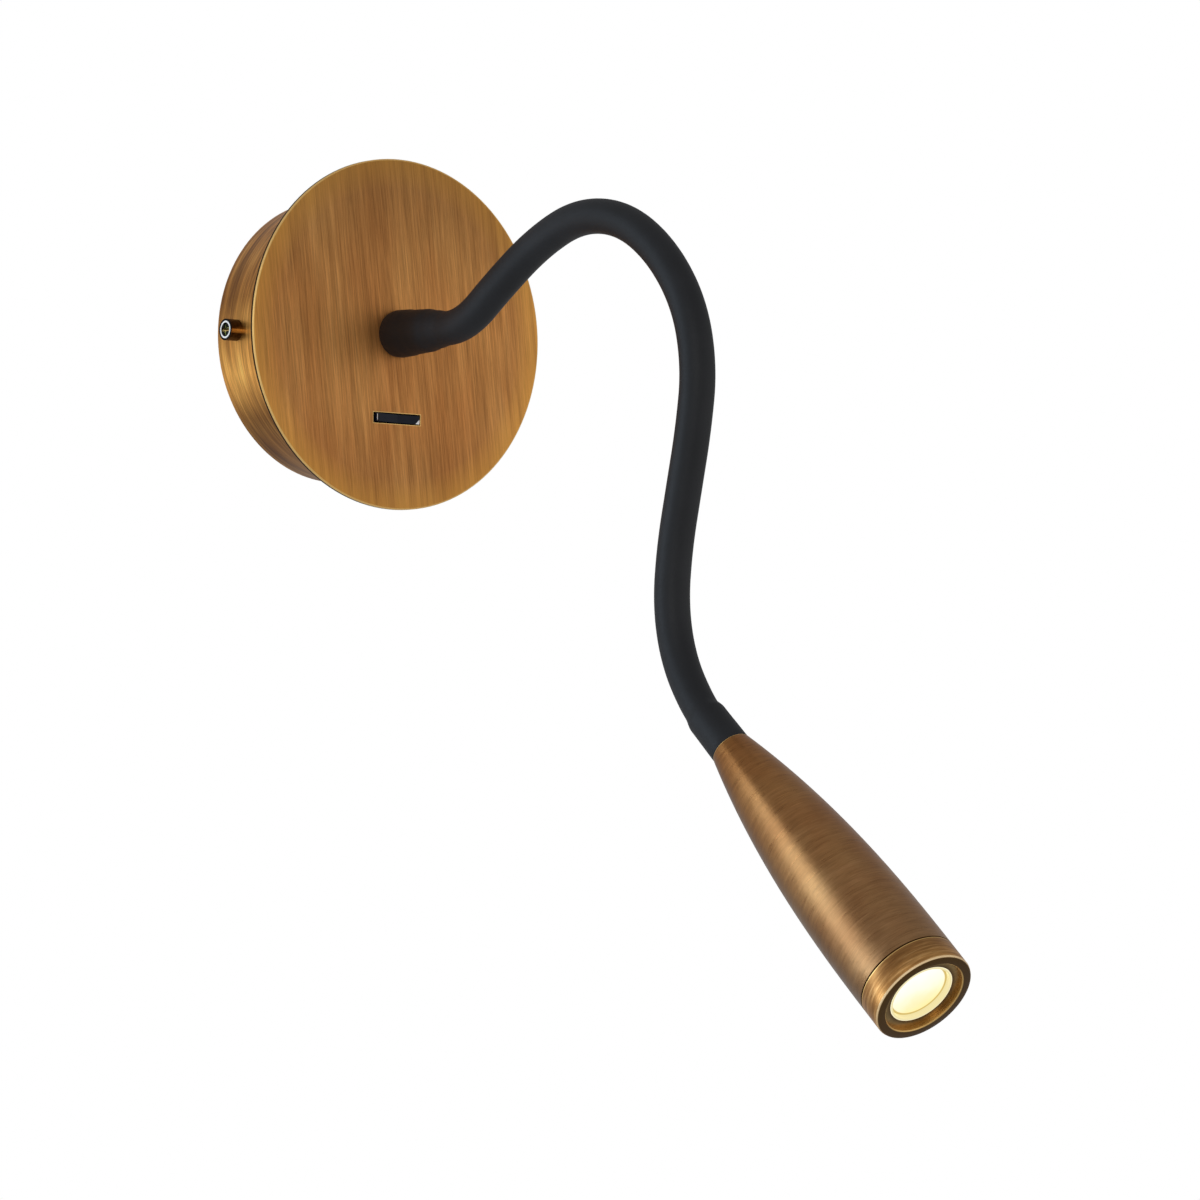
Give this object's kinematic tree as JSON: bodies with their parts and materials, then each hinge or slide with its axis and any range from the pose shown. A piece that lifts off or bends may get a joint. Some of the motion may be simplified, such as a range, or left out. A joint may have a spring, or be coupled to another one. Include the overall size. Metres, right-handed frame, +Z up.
{
  "type": "wall reading lamp",
  "caption": "Bedside wall reading lamp: round plate on a drum canopy with a rocker switch, a sleeved gooseneck, and a slim torch-shaped head with a lens.",
  "frame": {"origin": "centre of the canopy on the wall plane, half way between the two wall screw slots", "axes": "+Z up, +Y into the wall; the lamp stands out of the wall towards -Y, and +X is to the right for someone who faces it"},
  "size_m": [0.12, 0.322, 0.2973],
  "materials": {
    "antique_brass_plate": "pressed steel, antique brass plated and brushed",
    "antique_brass_head": "turned aluminium, antique brass plated and brushed round",
    "zinc_steel": "zinc plated",
    "chrome": "polished",
    "black_plastic": "moulded, satin",
    "black_gloss": "moulded, glossy",
    "white_plastic": "moulded, satin",
    "circuit_board": "glass-fibre laminate",
    "transformer_tape": "taped winding",
    "capacitor_can": "sleeved can",
    "contact_brass": "bare",
    "brown_wire": "insulated wire",
    "blue_wire": "insulated wire",
    "earth_wire": "insulated wire, green and yellow",
    "lead_sheath": "sheathed two-core lead",
    "silicone": "matt silicone",
    "spiral_steel": "interlocked strip",
    "bare_aluminium": "machined",
    "led_phosphor": "phosphor coat",
    "clear_lens": "clear, moulded"
  },
  "bodies": {
    "base": {"canopy": "antique_brass_plate", "face_disc": "antique_brass_plate", "disc_nuts": "zinc_steel", "wall_bracket": "zinc_steel", "side_screws": "chrome", "switch_housing": "black_plastic", "switch_screws": "zinc_steel", "switch_terminals": "contact_brass", "driver_tray": "white_plastic", "driver_cover": "white_plastic", "driver_board": "circuit_board", "driver_transformer": "transformer_tape", "driver_capacitors": "capacitor_can", "driver_screws": "zinc_steel", "terminal_block": "white_plastic", "terminal_screws": "contact_brass", "block_screw": "zinc_steel", "earth_screw": "zinc_steel", "live_lead": "brown_wire", "neutral_lead": "blue_wire", "switched_lead": "brown_wire", "earth_lead": "earth_wire", "wall_end_fitting": "contact_brass", "neck_lock_washer": "zinc_steel", "neck_nut": "zinc_steel", "sleeve_1": "silicone", "spiral_tube_1": "spiral_steel", "lamp_lead_1": "lead_sheath"},
    "neck_link_2": {"sleeve_2": "silicone", "spiral_tube_2": "spiral_steel", "lamp_lead_2": "lead_sheath"},
    "neck_link_3": {"sleeve_3": "silicone", "spiral_tube_3": "spiral_steel", "lamp_lead_3": "lead_sheath"},
    "neck_link_4": {"sleeve_4": "silicone", "spiral_tube_4": "spiral_steel", "lamp_lead_4": "lead_sheath"},
    "neck_link_5": {"sleeve_5": "silicone", "spiral_tube_5": "spiral_steel", "lamp_lead_5": "lead_sheath"},
    "neck_link_6": {"sleeve_6": "silicone", "spiral_tube_6": "spiral_steel", "lamp_lead_6": "lead_sheath"},
    "neck_link_7": {"sleeve_7": "silicone", "spiral_tube_7": "spiral_steel", "lamp_lead_7": "lead_sheath"},
    "head": {"sleeve_8": "silicone", "spiral_tube_8": "spiral_steel", "lamp_lead_8": "lead_sheath", "head_end_fitting": "contact_brass", "head_nut": "zinc_steel", "head_shell": "antique_brass_head", "heat_sink": "bare_aluminium", "led_board": "bare_aluminium", "led_chip": "led_phosphor", "led_board_screws": "zinc_steel", "bezel": "antique_brass_head", "lens_ring": "antique_brass_head", "lens": "clear_lens"},
    "switch_rocker": {"switch_rocker": "black_gloss"}
  },
  "joints": [
    {"name": "neck_bend_1", "type": "hinge", "parent": "base", "child": "neck_link_2", "pos_m": [0, -0.08575, 0.0065], "axis": [1, 0, 0], "range_deg": [-30, 30]},
    {"name": "neck_bend_2", "type": "hinge", "parent": "neck_link_2", "child": "neck_link_3", "pos_m": [0, -0.12775, 0.02865], "axis": [0, 0.3086, 0.9512], "range_deg": [-30, 30]},
    {"name": "neck_bend_3", "type": "hinge", "parent": "neck_link_3", "child": "neck_link_4", "pos_m": [0, -0.17275, 0.02325], "axis": [1, 0, 0], "range_deg": [-30, 30]},
    {"name": "neck_bend_4", "type": "hinge", "parent": "neck_link_4", "child": "neck_link_5", "pos_m": [0, -0.20065, -0.012], "axis": [0, -0.9696, 0.2447], "range_deg": [-30, 30]},
    {"name": "neck_bend_5", "type": "hinge", "parent": "neck_link_5", "child": "neck_link_6", "pos_m": [0, -0.19815, -0.052], "axis": [1, 0, 0], "range_deg": [-30, 30]},
    {"name": "neck_bend_6", "type": "hinge", "parent": "neck_link_6", "child": "neck_link_7", "pos_m": [0, -0.1904, -0.0895], "axis": [0, -0.9955, -0.0943], "range_deg": [-30, 30]},
    {"name": "neck_bend_7", "type": "hinge", "parent": "neck_link_7", "child": "head", "pos_m": [-0.001, -0.2005, -0.1246], "axis": [0.9981, -0.0383, -0.0485], "range_deg": [-20, 20]},
    {"name": "rocker_tip", "type": "hinge", "parent": "base", "child": "switch_rocker", "pos_m": [0, -0.0328, -0.0289], "axis": [0, 0, -1], "range_deg": [0, 12]}
  ]
}
